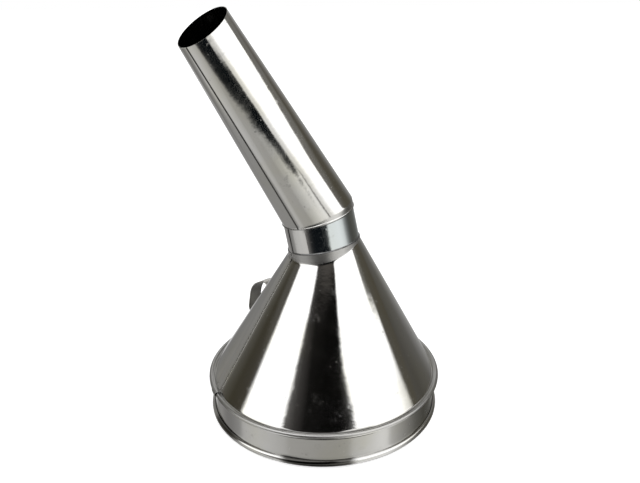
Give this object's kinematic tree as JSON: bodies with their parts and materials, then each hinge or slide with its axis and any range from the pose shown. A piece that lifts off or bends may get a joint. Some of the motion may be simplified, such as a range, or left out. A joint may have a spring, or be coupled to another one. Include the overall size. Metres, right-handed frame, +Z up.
{
  "type": "funnel",
  "caption": "Tinplate funnel with a cone bowl, a straight rim band on a wired foot, a short neck, a long tapered spout bent to one side and a strap loop.",
  "frame": {"origin": "centre of the bowl's mouth, on the surface that its foot bead rests on", "axes": "+Z up from the mouth to the spout, and the spout bends towards -X in the XZ plane"},
  "size_m": [0.2139, 0.2032, 0.3591],
  "materials": {
    "tinplate": "bright smooth tinplate",
    "wire": "plain drawn wire",
    "solder": "dull soft solder"
  },
  "bodies": {
    "root": {"rim_band": "tinplate", "rim_wire": "wire", "bowl": "tinplate", "neck": "tinplate", "spout": "tinplate", "neck_solder": "solder", "spout_solder": "solder", "loop": "tinplate", "loop_solder": "solder"}
  },
  "joints": []
}
